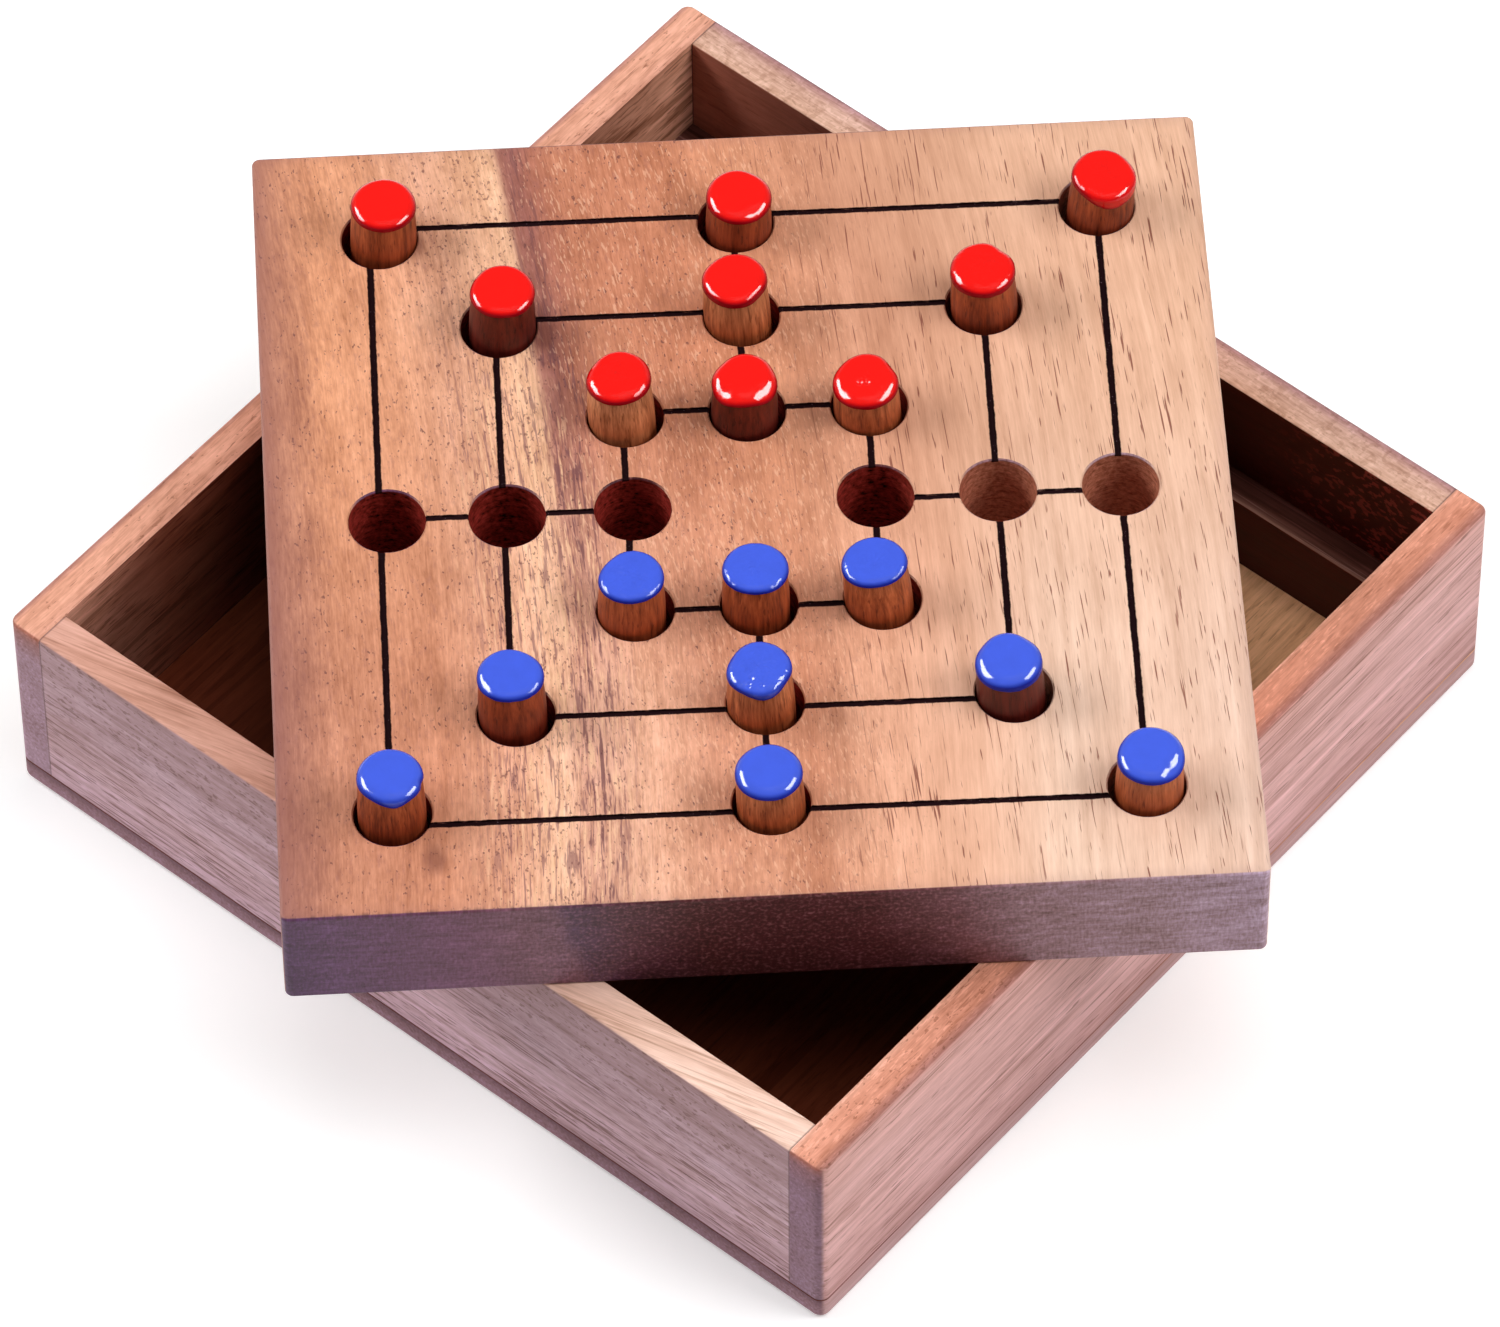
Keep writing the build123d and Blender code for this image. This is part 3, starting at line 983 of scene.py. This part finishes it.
def cap_form(shape):
    """The enamel: a closed skin over the peg's end, with a lip where it ran down the side and set."""
    top_rings = 26
    # How far down the side, as a share, and how far out, in thicknesses of the coat: a lip that turns
    # in under itself, and then the coat's own inside on the way back up
    outside = ((0.3, 1.0), (0.6, 1.1), (0.8, 1.3), (0.92, 1.15), (0.98, 0.6), (1.0, -0.3))
    inside = ((0.6, -0.5), (0.0, -0.5))

    def down(angle, fall, swell):
        _, start = shape.top(1.0, angle)
        z = start + (min(shape.edge_z(angle), start - least_skirt) - start) * fall
        return shape.side(z, angle) + coat_thickness * swell, z

    def under(angle, share):
        radius, z = shape.top(share, angle)
        return radius - coat_thickness * 1.5 * share, z - inner_depth(share) - coat_thickness * 0.5

    shares = [ring / top_rings for ring in range(1, top_rings + 1)]
    rings = [ring_of(lambda angle: shape.top(share, angle)) for share in shares]
    rings += [ring_of(lambda angle: down(angle, fall, swell)) for fall, swell in outside + inside]
    rings += [ring_of(lambda angle: under(angle, share)) for share in (0.95, 0.85, 0.6, 0.3)]
    outer_middle = shape.top(0.0, 0.0)[1]
    return turned(rings, (0, 0, outer_middle), (0, 0, outer_middle - inner_depth(0)))


def peg_form(shape, length):
    """The wood: a dowel with a tapered tip, a little out of round, and a broken edge at its foot."""

    def inside_cap(angle, share):
        radius, z = shape.top(share, angle)
        return radius - coat_thickness * share, z - inner_depth(share)

    foot_break = 0.3
    depths = (1.2, 1.8, 2.5, 3.3, 4.2, 5.2, 6.2, 7.5, 9.5, 12, 15, 18, length - foot_break)
    rings = [ring_of(lambda angle: inside_cap(angle, share)) for share in (0.3, 0.6, 0.85, 0.95, 1.0)]
    rings += [ring_of(lambda angle: (shape.side(-depth, angle), -depth)) for depth in depths]
    rings.append(ring_of(lambda angle: (shape.side(-length, angle) - foot_break, -length)))
    middle = shape.top(0.0, 0.0)[1] - inner_depth(0)
    return turned(rings, (0, 0, middle), (0, 0, -length))


def set_piece(name, form, tones, place, wood_offset, material):
    """A mesh object from a form in a peg's own millimetres, whose vertices hold their grain and tone."""
    vertices, faces = form
    mesh = bpy.data.meshes.new(name)
    mesh.from_pydata([place @ (Vector(vertex) * MM) for vertex in vertices], [], faces)
    mesh.polygons.foreach_set("use_smooth", [True] * len(mesh.polygons))
    grain = mesh.attributes.new("grain", "FLOAT_VECTOR", "POINT")
    grain.data.foreach_set("vector", [c for v in vertices for c in Vector(v) + wood_offset])
    shade = mesh.attributes.new("tone", "FLOAT", "POINT")
    shade.data.foreach_set("value", tones)
    mesh.materials.append(material)
    piece = bpy.data.objects.new(name, mesh)
    bpy.context.scene.collection.objects.link(piece)
    return piece


def peg_place(node, axis):
    """The peg's own frame, its origin at the middle of the wood's top, and its length in millimetres."""
    up = Vector(axis).normalized()
    right = Vector((math.cos(board_turn), math.sin(board_turn), 0))
    right = (right - up * right.dot(up)).normalized()
    back = up.cross(right)
    reach = [(v.co.dot(right), v.co.dot(back), v.co.dot(up)) for v in node.data.vertices]
    low, high = map(min, zip(*reach)), map(max, zip(*reach))
    (x0, y0, z0), (x1, y1, z1) = low, high
    middle = right * (x0 + x1) / 2 + back * (y0 + y1) / 2 + up * z1
    place = Matrix.Translation(middle) @ Matrix((right, back, up)).transposed().to_4x4()
    return place, (z1 - z0) / MM


def peg_wood():
    """Offcuts of several trees: each peg takes its colour from its own tone."""
    graph = Graph("peg_wood")
    point = graph.attribute("grain", "Vector")
    tone = graph.attribute("tone", "Fac")
    fibre = graph.noise(point, (0.28, 0.28, 4), 2, 0.6, seed=81) - 0.5
    streak = graph.noise(point, (1.0, 1.0, 18), 3, 0.65, seed=82) - 0.5
    cloud = graph.noise(point, (3, 3, 8), 2, 0.5, seed=83) - 0.5
    pores = graph.step(graph.noise(point, (0.36, 0.36, 3.0), 1.5, 0.5, seed=84), 0.6, 0.68)
    dark = [(0, 80, 20, 12), (0.2, 102, 32, 16), (0.4, 144, 62, 30)]
    pale = [(0.6, 166, 84, 46), (0.8, 186, 116, 76), (1, 206, 146, 108)]
    ground = graph.ramp(tone, dark + pale)
    colour = graph.shade(ground, fibre * 1.5 + streak * 2.8 + cloud * 0.8 + 1.0)
    colour = graph.mix(pores * 0.7, colour, graph.shade(colour, 0.4))
    return graph.finish(
        Base_Color=colour,
        Roughness=fibre * 0.2 + 0.5,
        Specular_IOR_Level=0.25,
        Normal=graph.bump(fibre * 0.5 - pores * 0.5 + 0.5, 0.05),
    )


def enamel(name, colour, thin_and_shaded, seed):
    """Thick glossy paint with a little dust in it. Where it is thin it is dull, and over the rounded
    edge and down the side its colour is darker: partly thin paint, partly painted shade.
    """
    graph = Graph(name)
    point = graph.attribute("grain", "Vector")
    cover_and_shade = graph.attribute("tone", "Fac")
    gloss = cover_and_shade * cover_and_shade
    flow = graph.noise(point, (2.2, 2.2, 2.2), 2, 0.5, seed=seed) - 0.5
    dust = graph.step(graph.noise(point, (0.35, 0.35, 0.35), 1, 0.5, seed=seed + 1), 0.74, 0.8)
    return graph.finish(
        # The colour runs to the darker one where the enamel thins: partly thin paint, partly painted
        # shade on the steep side.
        Base_Color=graph.shade(graph.mix(cover_and_shade, thin_and_shaded, colour), flow * 0.12 + 1.0),
        Roughness=flow * 0.04 + dust * 0.1 + 0.13,
        Specular_IOR_Level=gloss * 0.65 + 0.1,
        Coat_Weight=gloss,
        Coat_Roughness=0.09,
        Normal=graph.bump(flow * 0.6 + dust * 0.4 + 0.4, 0.05),
    )


def set_pegs():
    peg_apart = (13.7, 9.1, 41.0)       # how far one peg's grain lies from the next one's in the noise
    # How much the wood's tone is lifted at its top, and the painted shade that darkens it for each mm
    # further down
    top_tone, shade_fall_to_hole = 0.12, 0.03
    wood = peg_wood()
    paints = {
        "red": enamel("red_enamel", srgb(252, 12, 2), srgb(142, 4, 18), 91),
        "blue": enamel("blue_enamel", srgb(68, 97, 228), srgb(22, 34, 150), 95),
    }
    axes = {joint["child"]: joint["axis"] for joint in frame["joints"]}
    for number, (body, make) in enumerate(peg_makes.items()):
        colour, seat = body.split("_", 1)
        shape = PegShape(number, **make)
        peg_node, cap_node = f"{colour}_peg_{seat}", f"{colour}_enamel_{seat}"
        place, length = peg_place(frame["nodes"][peg_node], axes[body])
        offset = Vector([number * length for length in peg_apart])

        def wood_tone(vertex):
            """A peg's tone is what shows under its cap. Further down the wood is darker: painted shade
            towards the hole.
            """
            return shape.tone + top_tone + vertex[2] * shade_fall_to_hole

        pieces = (
            (f"peg_{body}", peg_form(shape, length), wood_tone, wood, peg_node, "peg_wood"),
            (f"cap_{body}", cap_form(shape), shape.cover_and_shade, paints[colour], cap_node, f"{colour}_enamel"),
        )
        for name, (vertices, faces), tone_at, material, node, slot in pieces:
            form = [shape.bent(vertex) for vertex in vertices], faces
            tones = [tone_at(vertex) for vertex in vertices]
            piece = set_piece(name, form, tones, place, offset, material)
            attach(piece, body)
            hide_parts(node)


# ---------------- camera, light and floor
def stand_camera():
    camera = bpy.data.objects.new("camera", bpy.data.cameras.new("camera"))
    camera.data.sensor_width = 36.0
    camera.data.lens = camera_lens
    camera.matrix_world = (
        Matrix.Translation(camera_place)
        @ Matrix.Rotation(math.radians(-camera_azimuth), 4, "Z")
        @ Matrix.Rotation(math.radians(90 - camera_elevation), 4, "X")
        @ Matrix.Rotation(math.radians(camera_roll), 4, "Z")
    )
    bpy.context.scene.collection.objects.link(camera)
    bpy.context.scene.camera = camera


def softbox(name, azimuth, elevation, distance, size, power):
    """A flat lamp that looks at the object. Its azimuth is taken from the camera's, to the right."""
    way = math.radians(camera_azimuth + 180 - azimuth)
    height = math.radians(elevation)
    place = distance * Vector(
        (math.sin(way) * math.cos(height), math.cos(way) * math.cos(height), math.sin(height))
    )
    lamp = bpy.data.lights.new(name, "AREA")
    lamp.shape = "RECTANGLE"
    lamp.size, lamp.size_y = size
    lamp.energy = power
    lamp_object = bpy.data.objects.new(name, lamp)
    lamp_object.location = place
    lamp_object.rotation_euler = (-place).to_track_quat("-Z", "Y").to_euler()
    bpy.context.scene.collection.objects.link(lamp_object)
    return lamp_object


def stand_lights():
    """A soft light from either side for the gloss, one overhead, and a dim room."""
    softbox("softbox_left", azimuth=-102, elevation=38, distance=1.1, size=(0.72, 0.36), power=7.2)
    softbox("softbox_right", azimuth=80, elevation=45, distance=1.1, size=(0.7, 0.36), power=5.8)
    over = softbox("softbox_over", azimuth=60, elevation=82, distance=1.2, size=(0.8, 0.8), power=6.0)
    over.visible_glossy = False
    world = bpy.data.worlds.new("studio")
    world.use_nodes = True
    nodes = world.node_tree.nodes
    links = world.node_tree.links
    source = nodes.new("ShaderNodeTexCoord")
    split = nodes.new("ShaderNodeSeparateXYZ")
    ramp = nodes.new("ShaderNodeValToRGB")
    links.new(source.outputs["Generated"], split.inputs[0])
    links.new(split.outputs["Z"], ramp.inputs[0])
    horizon, sky = ramp.color_ramp.elements
    horizon.position = 0.1
    horizon.color = (0.3, 0.3, 0.3, 1)
    sky.position = 0.45
    sky.color = (0.1, 0.1, 0.1, 1)
    links.new(ramp.outputs[0], nodes["Background"].inputs[0])
    bpy.context.scene.world = world


def lay_floor():
    """White paper. What the camera sees of it is lifted to the photograph's white; the light isn't."""
    half_size = 4.0
    graph = Graph("floor_white")
    path = graph.node("ShaderNodeLightPath")
    seen = graph.most(
        Value(graph, path.outputs["Is Camera Ray"]),
        Value(graph, path.outputs["Is Glossy Ray"]),
        Value(graph, path.outputs["Is Transmission Ray"]),
    )
    x, y, _ = graph.split(graph.coordinate("Object"))
    far = graph.step(graph.distance(x, y), 0.25, 1.0)
    strength = seen * (far * 0.6 + 0.3)
    lift = graph.node("ShaderNodeEmission", {"Color": (1, 1, 1, 1), "Strength": strength})
    both = graph.node("ShaderNodeAddShader")
    material = graph.finish(Base_Color=(0.88, 0.88, 0.88, 1), Roughness=0.8, Specular_IOR_Level=0.2)
    links = graph.tree.links
    links.new(graph.shader.outputs[0], both.inputs[0])
    links.new(lift.outputs[0], both.inputs[1])
    links.new(both.outputs[0], graph.surface)
    corners = [(-half_size, -half_size, 0), (half_size, -half_size, 0)]
    corners += [(half_size, half_size, 0), (-half_size, half_size, 0)]
    mesh = bpy.data.meshes.new("floor")
    mesh.from_pydata(corners, [], [(0, 1, 2, 3)])
    mesh.materials.append(material)
    floor = bpy.data.objects.new("floor", mesh)
    bpy.context.scene.collection.objects.link(floor)


bpy.context.scene.view_settings.view_transform = "Standard"
stand_camera()
stand_lights()
lay_floor()

woods = {
    "front_rail": front_rail_wood(),
    "back_rail": back_rail_wood(),
    "left_wall": left_wall_wood(),
    "right_wall": right_wall_wood(),
    "left_ledge": ledge_wood("left_ledge_wood", 63),
    "right_ledge": ledge_wood("right_ledge_wood", 67),
    "bottom_board": bottom_board_wood(),
    "board_lid": board_wood(),
}
for name, wood in woods.items():
    materials = frame["nodes"][name].data.materials
    materials.clear()
    materials.append(wood)
set_pegs()
